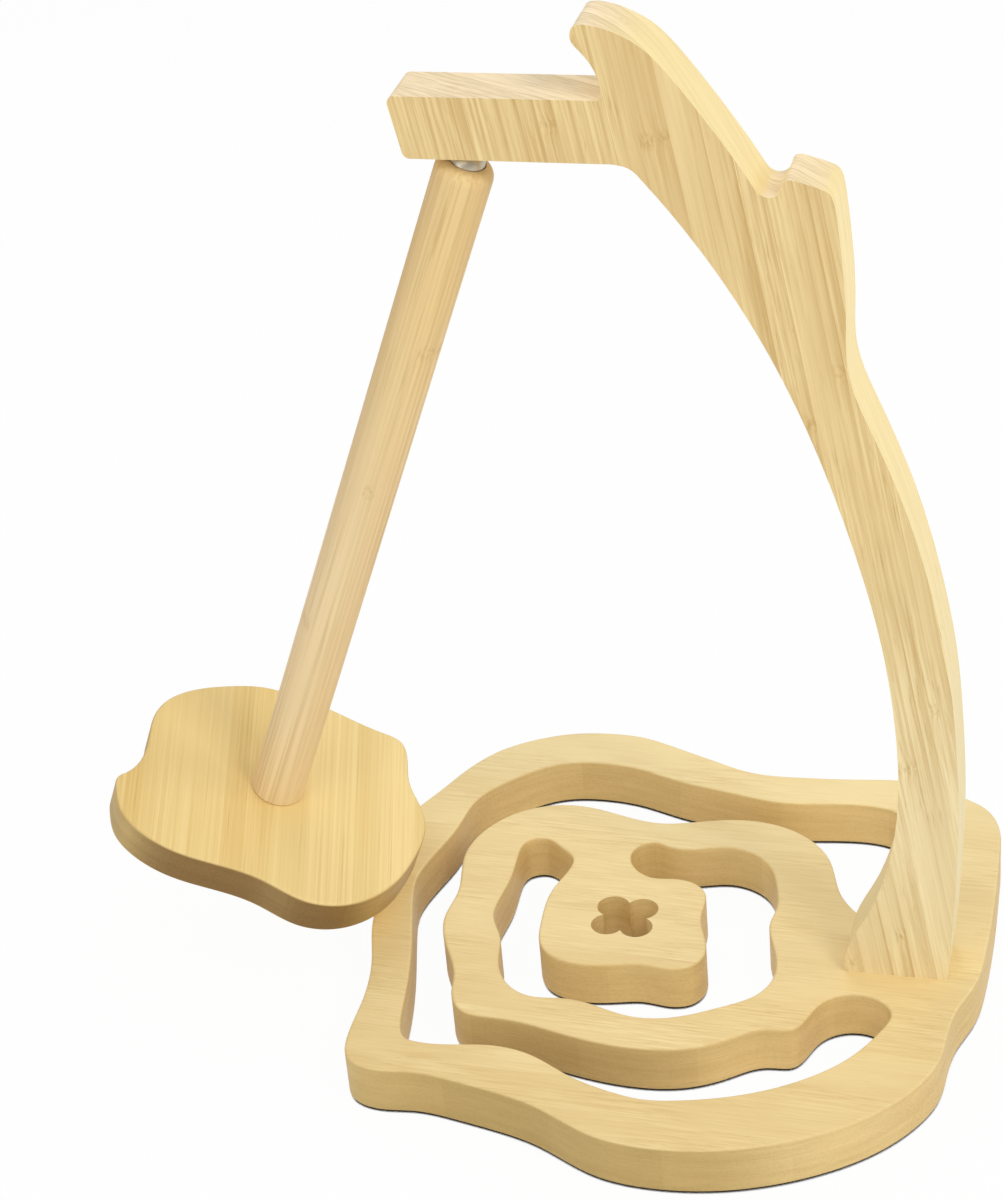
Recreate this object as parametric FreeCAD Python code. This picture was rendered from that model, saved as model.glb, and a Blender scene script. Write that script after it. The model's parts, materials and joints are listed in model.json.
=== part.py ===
"""Yarn holder of bamboo board: a pierced base, a curved arm, and a spindle that hangs by magnets from the arm.

Millimetres, +Z up, +X towards the arm's foot, +Y to the back. The origin lies on the table, under the middle pad.
The spindle is modelled swung aside, as it is held while a ball of yarn is put on.
"""
import FreeCAD, Part
import math
import os

Vector = FreeCAD.Vector
RIGHT = Vector(1, 0, 0)
BACK = Vector(0, 1, 0)
UP = Vector(0, 0, 1)

# Base
base_width = 187.2
base_depth = 194.3
board_thickness = 15.0
board_edge = 0.8
curve_stretches = 16
clover_lobe_radius = 4.95
clover_lobe_offset = 4.4
pad_diameter = 10.0
pad_height = 0.8

# Arm
arm_reach = 145.3
arm_thickness = 16.6
arm_foot_width = 29.9
beam_underside = 251.9
beam_depth = 17.0
leaf_rise = 19.9
beam_corner = 2.0
leaf_root_corner = 1.0
foot_corner = 1.5

# Ball, magnets and their seats
ball_diameter = 10.0
ball_sink = 0.5
ball_clearance = 0.15
magnet_diameter = 10.0
magnet_height = 4.0
magnet_clearance = 0.1
air_gap = 0.1

# Rod and plate
rod_diameter = 16.0
rod_shoulder = 3.8
rod_foot_edge = 0.6
cup_rim = 1.0
plate_width = 91.2
plate_depth = 84.5
plate_thickness = 11.2
plate_edge = 1.0
plate_lift = 8.0

# Pose of the spindle at rest, in degrees
side_tilt = 20.87
back_tilt = 2.74
rest_turn = 1.0

# Screws and threaded inserts
screw_diameter = 4.0
screw_head_diameter = 7.8
screw_head_height = 2.3
screw_head_sink = 0.6
screw_hole_clearance = 0.25
head_clearance = 0.2
arm_screw_length = 24.0
arm_screw_inset = 7.6
plate_screw_length = 20.0
drive_width = 2.5
drive_depth = 1.5
insert_diameter = 6.0
insert_length = 12.0
insert_flange_width = 0.8
insert_flange_height = 0.8
thread_clearance = 0.05
insert_clearance = 0.05
insert_relief = 1.5

# Rim of the base, seen from above, from the left side by the back to the right, the front and the left again
RIM = [
    (-79, 37.5), (-77.3, 62.6), (-73.1, 71.5), (-68.9, 81.1), (-59.3, 96.2), (-47.9, 104.7), (-35.4, 109.6),
    (-25, 110.8), (-15.4, 110.3), (-1, 105.3), (13.4, 99.2), (24, 95.3), (40, 94.6), (59, 96.1), (71, 97.3),
    (84, 95.5), (93.3, 90.5), (99.7, 86.3), (104.6, 78.5), (107, 62), (107.9, 45), (108.2, 13.3), (106.7, -1.1),
    (103, -13.2), (101.7, -24), (100.9, -35), (96.8, -45.8), (87.5, -58.6), (70.4, -71.8), (47.3, -81.2),
    (28.4, -83.5), (11, -80.9), (-8, -71.4), (-20.7, -67.5), (-33, -64.8), (-45.2, -63.2), (-56.9, -63.8),
    (-64.4, -60.6), (-67.9, -50), (-68.1, -35), (-70.9, -14.7), (-74.7, -1.7), (-77.8, 16),
    (-79, 27),
]

# Long slot, from its outer wall at the front left to its front end, along its inner wall to the end behind the arm,
# and back along the outer wall
OUTER_SLOT = [
    (-49.1, -49.3), (-40, -49.7), (-25.7, -47.9), (-13.4, -50.1), (0, -57.4), (12.6, -62), (22, -63.7),
    (32.5, -62.5), (48.5, -57.7), (64, -49), (76, -37.2), (82.7, -25), (84.5, -16.5), (80.3, -11.7),
    (72, -10.4), (64.2, -16), (57.6, -28.3), (50.6, -29.3), (41.5, -34.7), (29.7, -41.2), (11.3, -43.1),
    (-7, -40.1), (-25.7, -36.3), (-38.2, -34.3), (-42.9, -27), (-44.3, -19.2), (-50.8, -4.5), (-54.4, 8.8),
    (-53.6, 20), (-56.3, 39.7), (-53.2, 52.9), (-44.5, 63.9), (-29.6, 69.8), (-14.4, 67.4), (0.8, 64.2),
    (16, 67.6), (30, 69.5), (46.8, 63.7), (56, 53.3), (62.2, 36.4), (69, 27.3), (75.5, 23.4), (82, 28),
    (84.8, 42), (83.5, 60), (79.8, 73.5), (72.8, 79.9), (55, 81.8), (36.2, 80.1), (19.6, 83.1), (2.6, 87),
    (-11.5, 91.8), (-25, 93.4), (-37.9, 91.1), (-49.2, 82.7), (-59.2, 69.6), (-62.2, 52.2), (-66.4, 35.1),
    (-67.8, 25), (-66, 14.1), (-59.8, -9.7), (-56, -29.5), (-54.4, -40.3),
]

# Short slot round the centre block, from its inner wall behind the block to the end beside the bridge, back along its
# outer wall to the other end and round the front of the block
INNER_SLOT = [
    (3.4, 36.4), (-1.7, 39.8), (-4.5, 45.6), (-3, 51.3), (1.4, 53.7), (6.5, 52.1), (12.9, 51.7), (25, 54.3),
    (36.9, 49), (43, 35.1), (44.2, 26.3), (43.5, 19.4), (46.2, 9.1), (48.8, -5.6), (45, -14.6), (36, -21.3),
    (25.5, -27), (11.2, -29.2), (-1.4, -25.5), (-10, -24.3), (-19.6, -24.7), (-27.7, -20), (-33, -9),
    (-35.2, 1.3), (-39.5, 10.5), (-40, 15.4), (-39, 27.7), (-39.5, 41), (-37.7, 49.5), (-33, 51), (-27.7, 47.8),
    (-22.2, 42), (-22.3, 36), (-24.7, 27.2), (-25.4, 19.6), (-24.7, 9.7), (-23, 0.7), (-19.7, -4.4),
    (-11.4, -8.1), (-5.3, -8.3), (3.4, -6.7), (9.2, -5.7), (18, -6.6), (24, -4.6), (27.2, 2), (26.5, 7.1),
    (22.8, 18.7), (22.6, 26.6), (21.3, 31.7), (16, 35.8), (9.7, 36.4),
]

CLOVER_CENTRE = (0, 15.6)
PAD_PLACES = [(0, 0), (22, -73.5), (94.5, -13), (93, 78), (-47.5, 94.5), (-58, -55)]
ARM_FOOT = (68.7, 8.3)

# Arm, seen from the front: x from the foot's inner corner, z from the top of the base
INNER_EDGE = [
    (2.4, 11.5), (7.1, 21), (11.8, 34), (14.4, 45), (16.4, 69), (15.8, 85), (11.9, 115), (4.3, 146),
    (-8, 182.4), (-17.9, 204.3), (-32.5, 229), (-42.2, 242.3), (-46.8, 248), (-49.4, 250.6), (-52.6, 251.7),
]
DRAWN_BEAM_UNDERSIDE = 251.9
DRAWN_BEAM_TOP = 268.9
BEAM_SWEEP = -56.5
BEAM_LOWER_TIP = -108.7
BEAM_UPPER_TIP = -112.2
LEAF_ROOT = -56.0
PIVOT_REACH = -94.6

# The arm's outer side: the leaf from its lip round the tip, the notch, the thorn and down the back to the foot
LEAF_LIP = (-56, 273)
LEAF_EDGE = [
    (-57, 276.6),
    (-60.7, 282.1), (-62.4, 284.2), (-62.7, 286.3), (-62, 288.1), (-60.4, 288.8), (-57.5, 288.7), (-54.8, 288.1),
    (-49.9, 286.2), (-45, 283.2), (-40.3, 278.5), (-30.8, 266), (-23.7, 255.7), (-18.3, 247), (-16.6, 244.8),
    (-14.6, 244.1), (-12.7, 244.5), (-11.5, 245.8), (-10.9, 247.5), (-10.1, 248.7), (-8.8, 249), (-6.3, 248.4),
]
OUTER_EDGE = [
    (-3.8, 247.7), (-1.2, 246.8),
    (0.9, 245.6), (2, 243.2), (2.7, 238.7), (3.9, 225), (4.4, 211), (4.5, 197), (6.3, 189.3), (10.1, 179.6),
    (19, 156.2), (27.5, 122.8), (30.2, 107), (32.4, 81), (33.1, 54), (32.1, 29.4), (30.8, 10),
]

# Yarn plate, seen from above, from its left side round the back
PLATE_RIM = [
    (-43.9, -18), (-41, -9), (-41.8, -0.7), (-44, 11.2), (-42.9, 19.6), (-38, 27.8), (-28, 36.3),
    (-17.7, 41.8), (-8, 43.3), (4.2, 43.1), (21.2, 41.6), (28.6, 40.6), (32.2, 35.2), (36.5, 23.4), (42.6, 14.9),
    (45.7, 8.3), (46.5, -7.2), (44.6, -18.6), (38.6, -31), (30.5, -38.4), (21.8, -41.2), (7.6, -39.3),
    (-2, -39.5), (-17.5, -41.2), (-31.2, -38.5), (-38.7, -33.4), (-43.3, -25.4),
]


def span(points, axis):
    """How far a drawn outline reaches along one of its two directions."""
    places = [point[axis] for point in points]
    return max(places) - min(places)


across = base_width / span(RIM, 0)
along = base_depth / span(RIM, 1)
plate_across = plate_width / span(PLATE_RIM, 0)
plate_along = plate_depth / span(PLATE_RIM, 1)

board_top = pad_height + board_thickness
foot_left = ARM_FOOT[0] * across
arm_middle = ARM_FOOT[1] * along
arm_front = arm_middle - arm_thickness / 2
ball_radius = ball_diameter / 2
magnet_radius = magnet_diameter / 2
rod_radius = rod_diameter / 2
screw_radius = screw_diameter / 2
head_radius = screw_head_diameter / 2
insert_radius = insert_diameter / 2
flange_radius = insert_radius + insert_flange_width


def on_base(point):
    """A place drawn on the base, moved to the base's real width and depth."""
    return (point[0] * across, point[1] * along)


def on_arm(point):
    """A place drawn on the arm, with its x grown to the arm's real reach and its z to the real beam and leaf."""
    drawn_reach = max(x for x, _ in OUTER_EDGE) - BEAM_UPPER_TIP
    drawn_levels = [0, DRAWN_BEAM_UNDERSIDE, DRAWN_BEAM_TOP, max(z for _, z in LEAF_EDGE)]
    heights = [beam_underside, beam_depth, leaf_rise]
    level = 0
    for low, high, height in zip(drawn_levels, drawn_levels[1:], heights):
        level += height * min(max((point[1] - low) / (high - low), 0), 1)
    return (point[0] * arm_reach / drawn_reach, level)


def flat(point, height=0.0):
    """A drawn place as a point of a level outline."""
    return Vector(point[0], point[1], height)


def upright(point):
    """A drawn place as a point of the arm's front face."""
    return Vector(foot_left + point[0], arm_front, board_top + point[1])


def stretches(curve):
    """A smooth curve as several edges, end to end."""
    first, last = curve.FirstParameter, curve.LastParameter
    cuts = [first + (last - first) * number / curve_stretches for number in range(curve_stretches + 1)]
    return [curve.toShape(start, end) for start, end in zip(cuts, cuts[1:])]


def smooth_loop(points, height):
    """A closed wire that runs smoothly through the points."""
    curve = Part.BSplineCurve()
    curve.interpolate(Points=[flat(point, height) for point in points], PeriodicFlag=True)
    return Part.Wire(stretches(curve))


def slab(points, low, high):
    """A solid plate with a smooth outline, from one height to another."""
    return Part.Face(smooth_loop(points, low)).extrude(UP * (high - low))


def smooth_run(points):
    """Edges that run smoothly through the points."""
    curve = Part.BSplineCurve()
    curve.interpolate(Points=points)
    return stretches(curve)


def straight(start, end):
    """A straight edge."""
    return Part.LineSegment(start, end).toShape()


def corner(before, tip, after, radius):
    """The arc that rounds a corner: its start, its middle and its end."""
    one = (before - tip).normalize()
    other = (after - tip).normalize()
    half = one.getAngle(other) / 2
    inward = (one + other).normalize()
    start = tip + one * (radius / math.tan(half))
    end = tip + other * (radius / math.tan(half))
    middle = tip + inward * (radius / math.sin(half) - radius)
    return start, middle, end


def arc(points):
    """An edge on the circle through three points."""
    return Part.Arc(*points).toShape()


def edges_at(shape, direction, place):
    """The edges that lie wholly in the plane at a place along a direction."""
    near = 1e-4
    found = []
    for edge in shape.Edges:
        ends = [edge.valueAt(t) for t in edge.ParameterRange] + [edge.CenterOfMass]
        if all(abs(end.dot(direction) - place) < near for end in ends):
            found.append(edge)
    return found


def disc(radius, height, centre):
    """A round solid that stands on its centre point."""
    return Part.makeCylinder(radius, height, centre)


def pierced_board():
    """The board of the base with its two slots and softened edges, before the holes are drilled."""
    low = pad_height
    over = board_thickness
    board = slab([on_base(point) for point in RIM], low, board_top)
    for outline in (OUTER_SLOT, INNER_SLOT):
        board = board.cut(slab([on_base(point) for point in outline], low - over, board_top + over))
    edges = edges_at(board, UP, low) + edges_at(board, UP, board_top)
    return board.makeFillet(board_edge, edges)


def clover():
    """A tall plug of the clover hole's shape: four round lobes about a square."""
    x, y = on_base(CLOVER_CENTRE)
    tall = board_top * 2
    side = clover_lobe_offset * 2
    corner_point = Vector(x - clover_lobe_offset, y - clover_lobe_offset, -board_top / 2)
    plug = Part.makeBox(side, side, tall, corner_point)
    for dx in (0, side):
        for dy in (0, side):
            plug = plug.fuse(disc(clover_lobe_radius, tall, corner_point + Vector(dx, dy, 0)))
    return plug.removeSplitter()


def arm_screw_places():
    """Where the two screws of the arm's foot stand, seen from above."""
    return [
        (foot_left + arm_screw_inset, arm_middle),
        (foot_left + arm_foot_width - arm_screw_inset, arm_middle),
    ]


def screw_hole(thickness):
    """A plug of a countersunk hole that starts at height 0, for a board of the given thickness."""
    hole_radius = screw_radius + screw_hole_clearance
    mouth_radius = head_radius + head_clearance
    mouth = disc(mouth_radius, screw_head_sink + head_clearance, Vector(0, 0, -head_clearance))
    cone = Part.makeCone(mouth_radius, hole_radius, screw_head_height, Vector(0, 0, screw_head_sink))
    return disc(hole_radius, thickness * 2, Vector(0, 0, 0)).fuse([mouth, cone])


def screw(length):
    """A countersunk screw that stands on its head, with a six-sided drive."""
    shank = disc(screw_radius, length - screw_head_height, Vector(0, 0, screw_head_height))
    head = Part.makeCone(head_radius, screw_radius, screw_head_height)
    corners = []
    for step in range(7):
        angle = math.radians(60 * step)
        reach = drive_width / 2 / math.cos(math.radians(30))
        corners.append(Vector(reach * math.cos(angle), reach * math.sin(angle), 0))
    drive = Part.Face(Part.makePolygon(corners)).extrude(UP * drive_depth)
    return head.fuse(shank).cut(drive).removeSplitter()


def insert():
    """A threaded insert with a thin flange at its mouth, which faces down at height 0."""
    sleeve = disc(insert_radius, insert_length, Vector(0, 0, 0))
    flange = disc(flange_radius, insert_flange_height, Vector(0, 0, 0))
    bore = disc(screw_radius + thread_clearance, insert_length, Vector(0, 0, 0))
    return sleeve.fuse(flange).cut(bore).removeSplitter()


def insert_hole():
    """A plug of the hole that takes an insert, from its mouth at height 0."""
    sleeve = disc(insert_radius + insert_clearance, insert_length + insert_relief, Vector(0, 0, 0))
    flange = disc(flange_radius + insert_clearance, insert_flange_height, Vector(0, 0, 0))
    return sleeve.fuse(flange)


def placed(shape, place, height):
    """A copy of a shape that stands at a place seen from above, at a height."""
    return shape.translated(Vector(place[0], place[1], height))


def base_board():
    """The base: the pierced board with its clover hole and the arm's screw holes."""
    board = pierced_board().cut(clover())
    for place in arm_screw_places():
        board = board.cut(placed(screw_hole(board_thickness), place, pad_height))
    return board


def foot_pad(place):
    """One thin pad under the base."""
    return placed(disc(pad_diameter / 2, pad_height, Vector(0, 0, 0)), on_base(place), 0)


def arm_outline():
    """The closed wire of the arm's front face."""
    inner_foot = upright((0, 0))
    outer_foot = upright((arm_foot_width, 0))
    inner_edge = [upright(on_arm(point)) for point in INNER_EDGE]
    sweep = upright((on_arm((BEAM_SWEEP, 0))[0], beam_underside))
    lower_tip = upright((on_arm((BEAM_LOWER_TIP, 0))[0], beam_underside))
    upper_tip = upright((on_arm((BEAM_UPPER_TIP, 0))[0], beam_underside + beam_depth))
    leaf_root = upright((on_arm((LEAF_ROOT, 0))[0], beam_underside + beam_depth))
    leaf_lip = upright(on_arm(LEAF_LIP))
    outer_side = [leaf_lip] + [upright(on_arm(point)) for point in LEAF_EDGE + OUTER_EDGE] + [outer_foot]

    above_foot = inner_foot + UP * foot_corner
    foot_arc = corner(above_foot, inner_foot, outer_foot, foot_corner)
    lower_arc = corner(sweep, lower_tip, upper_tip, beam_corner)
    upper_arc = corner(lower_tip, upper_tip, leaf_root, beam_corner)
    root_arc = corner(upper_tip, leaf_root, leaf_lip, leaf_root_corner)
    edges = smooth_run([foot_arc[0]] + inner_edge + [sweep])
    edges += [straight(sweep, lower_arc[0]), arc(lower_arc)]
    edges += [straight(lower_arc[2], upper_arc[0]), arc(upper_arc)]
    edges += [straight(upper_arc[2], root_arc[0]), arc(root_arc)]
    edges += [straight(root_arc[2], leaf_lip)] + smooth_run(outer_side)
    edges += [straight(outer_foot, foot_arc[2]), arc(foot_arc[::-1])]
    return Part.Wire(edges)


def arm():
    """The arm: its board, the magnet's seat and the holes of the foot's inserts."""
    board = Part.Face(arm_outline()).extrude(BACK * arm_thickness)
    seat_radius = magnet_radius + magnet_clearance
    seat_depth = ball_sink + air_gap + magnet_height
    board = board.cut(disc(seat_radius, seat_depth, Vector(pivot.x, pivot.y, board_top + beam_underside)))
    for place in arm_screw_places():
        board = board.cut(placed(insert_hole(), place, board_top))
    return board


def arm_magnet():
    """The disc magnet in the underside of the beam, a hair above the ball."""
    return disc(magnet_radius, magnet_height, pivot + UP * (ball_radius + air_gap))


def pivot_ball():
    """The steel ball that the spindle hangs by."""
    return Part.makeSphere(ball_radius, pivot)


def hanging(shape):
    """A piece of the spindle, drawn with the pivot at the origin and hanging straight, swung to its rest pose."""
    swung = shape.copy()
    swung.rotate(Vector(0, 0, 0), UP, rest_turn)
    swung.rotate(Vector(0, 0, 0), RIGHT, back_tilt)
    swung.rotate(Vector(0, 0, 0), BACK, side_tilt)
    swung.translate(pivot)
    return swung


def rod_magnet():
    """The disc magnet at the bottom of the rod's socket."""
    top = ball_radius + air_gap
    return hanging(disc(magnet_radius, magnet_height, Vector(0, 0, -top - magnet_height)))


def spindle_rod():
    """The rod: rounded at its top, with a socket for the ball and its magnet, and an insert's hole in its foot."""
    rod = disc(rod_radius, cup_rim + plate_top_drop, Vector(0, 0, -plate_top_drop))
    rod = rod.makeFillet(rod_shoulder, edges_at(rod, UP, cup_rim))
    rod = rod.makeFillet(rod_foot_edge, edges_at(rod, UP, -plate_top_drop))
    floor = ball_radius + air_gap + magnet_height + air_gap
    socket_radius = max(ball_radius, magnet_radius) + ball_clearance
    rod = rod.cut(disc(socket_radius, floor + cup_rim, Vector(0, 0, -floor)))
    return hanging(rod.cut(insert_hole().translated(Vector(0, 0, -plate_top_drop))))


def rod_insert():
    """The threaded insert in the rod's foot."""
    return hanging(insert().translated(Vector(0, 0, -plate_top_drop)))


def yarn_plate():
    """The plate that carries the yarn, with a countersunk hole from beneath."""
    low = -plate_top_drop - plate_thickness
    rim = [(x * plate_across, y * plate_along) for x, y in PLATE_RIM]
    plate = slab(rim, low, -plate_top_drop)
    plate = plate.makeFillet(plate_edge, edges_at(plate, UP, low) + edges_at(plate, UP, -plate_top_drop))
    return hanging(plate.cut(screw_hole(plate_thickness).translated(Vector(0, 0, low))))


def plate_screw():
    """The screw that holds the plate to the rod."""
    low = -plate_top_drop - plate_thickness
    return hanging(screw(plate_screw_length).translated(Vector(0, 0, low + screw_head_sink)))


# Pivot: the ball's centre, under the beam's free end and as far from its tip as the rod hangs
pivot_from_foot = on_arm((PIVOT_REACH, 0))[0]
pivot = Vector(foot_left + pivot_from_foot, arm_middle, board_top + beam_underside - ball_radius + ball_sink)
plate_top_drop = pivot.z - board_top - plate_lift - plate_thickness

pieces = {
    "base_board": base_board(),
    "arm": arm(),
    "arm_magnet": arm_magnet(),
    "pivot_ball": pivot_ball(),
    "rod_magnet": rod_magnet(),
    "spindle_rod": spindle_rod(),
    "rod_insert": rod_insert(),
    "yarn_plate": yarn_plate(),
    "plate_screw": plate_screw(),
}
for number, place in enumerate(arm_screw_places(), start=1):
    pieces[f"arm_screw_{number}"] = placed(screw(arm_screw_length), place, pad_height + screw_head_sink)
    pieces[f"arm_insert_{number}"] = placed(insert(), place, board_top)
for number, place in enumerate(PAD_PLACES, start=1):
    pieces[f"foot_pad_{number}"] = foot_pad(place)

os.makedirs("parts", exist_ok=True)
for name, shape in pieces.items():
    shape.exportStep(f"parts/{name}.step")
    box = shape.BoundBox
    print(f"{name}: {len(shape.Solids)} solid, {shape.Volume:.0f} mm3, valid {shape.isValid()}, "
          f"x {box.XMin:.1f} to {box.XMax:.1f}, y {box.YMin:.1f} to {box.YMax:.1f}, z {box.ZMin:.1f} to {box.ZMax:.1f}")
print(f"pivot {pivot.x:.3f} {pivot.y:.3f} {pivot.z:.3f}, plate top {plate_top_drop:.2f} below it")
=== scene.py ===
"""Looks of the bamboo yarn holder, built around the fixed frame.

Metres, +Z up. Every piece lies where the frame has it. The frame's own nodes keep their shape and get a
finish. The arm and the pads are shown by new pieces with softened edges. A floor, lamps and a camera stand
around them.
"""

import json
import logging
import math
from dataclasses import dataclass, field
from enum import Enum

import bmesh
import bpy
from mathutils import Euler, Matrix, Vector


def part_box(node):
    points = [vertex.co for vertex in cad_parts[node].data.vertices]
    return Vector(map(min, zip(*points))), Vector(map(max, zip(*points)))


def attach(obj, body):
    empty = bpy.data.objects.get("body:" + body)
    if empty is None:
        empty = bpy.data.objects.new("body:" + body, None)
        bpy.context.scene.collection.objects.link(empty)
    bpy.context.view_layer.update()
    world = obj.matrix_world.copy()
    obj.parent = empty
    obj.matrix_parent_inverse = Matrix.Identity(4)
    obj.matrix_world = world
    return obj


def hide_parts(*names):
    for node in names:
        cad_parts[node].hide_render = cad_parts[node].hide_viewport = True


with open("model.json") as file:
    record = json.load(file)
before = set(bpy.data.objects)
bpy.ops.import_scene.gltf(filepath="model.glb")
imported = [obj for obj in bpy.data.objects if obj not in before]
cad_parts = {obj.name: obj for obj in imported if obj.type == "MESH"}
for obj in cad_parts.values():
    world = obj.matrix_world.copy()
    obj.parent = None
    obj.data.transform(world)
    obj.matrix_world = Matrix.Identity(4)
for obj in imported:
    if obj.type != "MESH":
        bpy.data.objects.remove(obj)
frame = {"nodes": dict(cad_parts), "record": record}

LOG = logging.getLogger("yarn_holder")
FRAME_WIDTH = 1003
FRAME_HEIGHT = 1200
MILLIMETRE = 0.001
HALF = 0.5
SCREEN_FOOT = 0.04045
SCREEN_SLOPE = 12.92
SCREEN_LIFT = 0.055
SCREEN_POWER = 2.4
AGEING = (0.80, 0.77, 0.68)
WHITE = (1.0, 1.0, 1.0)

Socket = bpy.types.NodeSocket
Material = bpy.types.Material
Pair = tuple[float, float]
Triple = tuple[float, float, float]


def linear(red: int, green: int, blue: int) -> Triple:
    """Turns a colour as a screen shows it into the scene's own linear numbers.

    Args:
        red, green, blue: Parts from 0 to 255.

    Returns:
        The three linear parts, from 0 to 1.
    """
    parts = []
    for part in (red, green, blue):
        share = part / 255
        curved = ((share + SCREEN_LIFT) / (1.0 + SCREEN_LIFT)) ** SCREEN_POWER
        parts.append(share / SCREEN_SLOPE if share <= SCREEN_FOOT else curved)
    return tuple(parts)


class Graph:
    """A node tree with short calls that add nodes and join them."""

    def __init__(self, tree: bpy.types.NodeTree) -> None:
        """Wraps a tree and drops the nodes that it came with."""
        self.tree = tree
        tree.nodes.clear()

    def add(self, kind: str, inputs: dict | None = None, **settings: object) -> bpy.types.Node:
        """Adds a node.

        Args:
            kind: The node's type.
            inputs: Values or sockets by input name or number.
            settings: The node's own settings.

        Returns:
            The new node.
        """
        node = self.tree.nodes.new(kind)
        for name, value in settings.items():
            setattr(node, name, value)
        for key, value in (inputs or {}).items():
            self.feed(node.inputs[key], value)
        return node

    def feed(self, socket: Socket, value: object) -> None:
        """Joins a socket to another one, or sets its value.

        Args:
            socket: The input that takes the value.
            value: A socket, a number, a vector or a colour.
        """
        if isinstance(value, Socket):
            self.tree.links.new(value, socket)
            return
        if socket.type == "RGBA" and len(value) == 3:
            value = (*value, 1.0)
        socket.default_value = value

    def number(self, operation: str, first: object, second: object = 0.0, clamp: bool = False) -> Socket:
        """Adds a Math node.

        Args:
            operation: What the node does, as Blender names it.
            first, second: Numbers or sockets.
            clamp: Keeps the result from 0 to 1.

        Returns:
            The result's socket.
        """
        node = self.add("ShaderNodeMath", {0: first, 1: second}, operation=operation, use_clamp=clamp)
        return node.outputs[0]

    def vector(self, operation: str, first: object, second: object) -> Socket:
        """Adds a Vector Math node and returns its vector, or its number for a dot product."""
        node = self.add("ShaderNodeVectorMath", {0: first, 1: second}, operation=operation)
        return node.outputs["Value" if operation == "DOT_PRODUCT" else "Vector"]

    def ramp(self, value: object, low: float, high: float) -> Socket:
        """Adds a smooth step from 0 at low to 1 at high, and returns its socket."""
        inputs = {"Value": value, "From Min": low, "From Max": high}
        return self.add("ShaderNodeMapRange", inputs, interpolation_type="SMOOTHSTEP").outputs["Result"]

    def group(self, tree: bpy.types.NodeTree, inputs: dict) -> dict[str, Socket]:
        """Places a node group.

        Args:
            tree: The group's tree.
            inputs: Values or sockets by input name.

        Returns:
            The group's outputs by name.
        """
        node = self.add("ShaderNodeGroup", node_tree=tree)
        for label, value in inputs.items():
            self.feed(node.inputs[label], value)
        return {socket.name: socket for socket in node.outputs}

    def opposite(self, value: Socket) -> Socket:
        """Returns the socket of what is left of 1."""
        return self.number("SUBTRACT", 1.0, value)

    def swing(self, value: Socket, strength: object) -> Socket:
        """Returns how far noise or dice are from their mean, times a strength."""
        return self.number("MULTIPLY", self.number("SUBTRACT", value, HALF), strength)

    def tone_of(self, mean: float, terms: list[Socket]) -> Socket:
        """Adds up a tone, and keeps it from 0 to 1.

        Args:
            mean: The tone without the terms.
            terms: What makes it paler or darker from place to place.

        Returns:
            The tone's socket.
        """
        tone = mean
        for term in terms:
            tone = self.number("ADD", term, tone)
        return self.number("MAXIMUM", tone, 0.0, clamp=True)

    def scaled(self, place: Socket, scale: Triple) -> Socket:
        """Returns a place whose parts are multiplied by a scale."""
        return self.vector("MULTIPLY", place, scale)

    def dice(self, **parts: object) -> Socket:
        """Returns a random value from 0 to 1 for each whole place, whose parts are given by their letter."""
        key = self.add("ShaderNodeCombineXYZ", parts).outputs[0]
        return self.add("ShaderNodeTexWhiteNoise", {"Vector": key}, noise_dimensions="3D").outputs["Value"]

    def blend(self, share: float, first: Socket, second: Socket) -> Socket:
        """Mixes two numbers, and returns the result's socket."""
        part = self.number("MULTIPLY", first, 1.0 - share)
        return self.number("ADD", part, self.number("MULTIPLY", second, share))

    def noise(self, place: object, detail: float = 2.0, roughness: float = 0.5) -> Socket:
        """Adds a noise texture at scale 1 and returns its value, which lies about a half."""
        inputs = {"Vector": place, "Scale": 1.0, "Detail": detail, "Roughness": roughness}
        return self.add("ShaderNodeTexNoise", inputs).outputs["Fac"]

    def mix(self, share: object, first: object, second: object) -> Socket:
        """Adds a colour mix.

        Args:
            share: How much of the second colour shows, from 0 to 1.
            first, second: Colours or sockets.

        Returns:
            The mixed colour's socket.
        """
        node = self.add("ShaderNodeMix", data_type="RGBA")
        for socket in node.inputs:
            if socket.identifier == "Factor_Float":
                self.feed(socket, share)
            elif socket.identifier == "A_Color":
                self.feed(socket, first)
            elif socket.identifier == "B_Color":
                self.feed(socket, second)
        return next(socket for socket in node.outputs if socket.identifier == "Result_Color")


def new_group(name: str, inputs: dict[str, str], outputs: dict[str, str]) -> tuple[Graph, dict[str, Socket]]:
    """Starts a shader node group with named sockets, whose inputs each material sets.

    Args:
        name: The group's name.
        inputs: Kind by input name.
        outputs: Kind by output name.

    Returns:
        The group's graph, and the sockets of its inputs by name.
    """
    tree = bpy.data.node_groups.new(name, "ShaderNodeTree")
    graph = Graph(tree)
    for label, kind in inputs.items():
        tree.interface.new_socket(label, in_out="INPUT", socket_type=f"NodeSocket{kind}")
    for label, kind in outputs.items():
        tree.interface.new_socket(label, in_out="OUTPUT", socket_type=f"NodeSocket{kind}")
    start = graph.add("NodeGroupInput")
    return graph, {label: start.outputs[label] for label in inputs}


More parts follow.
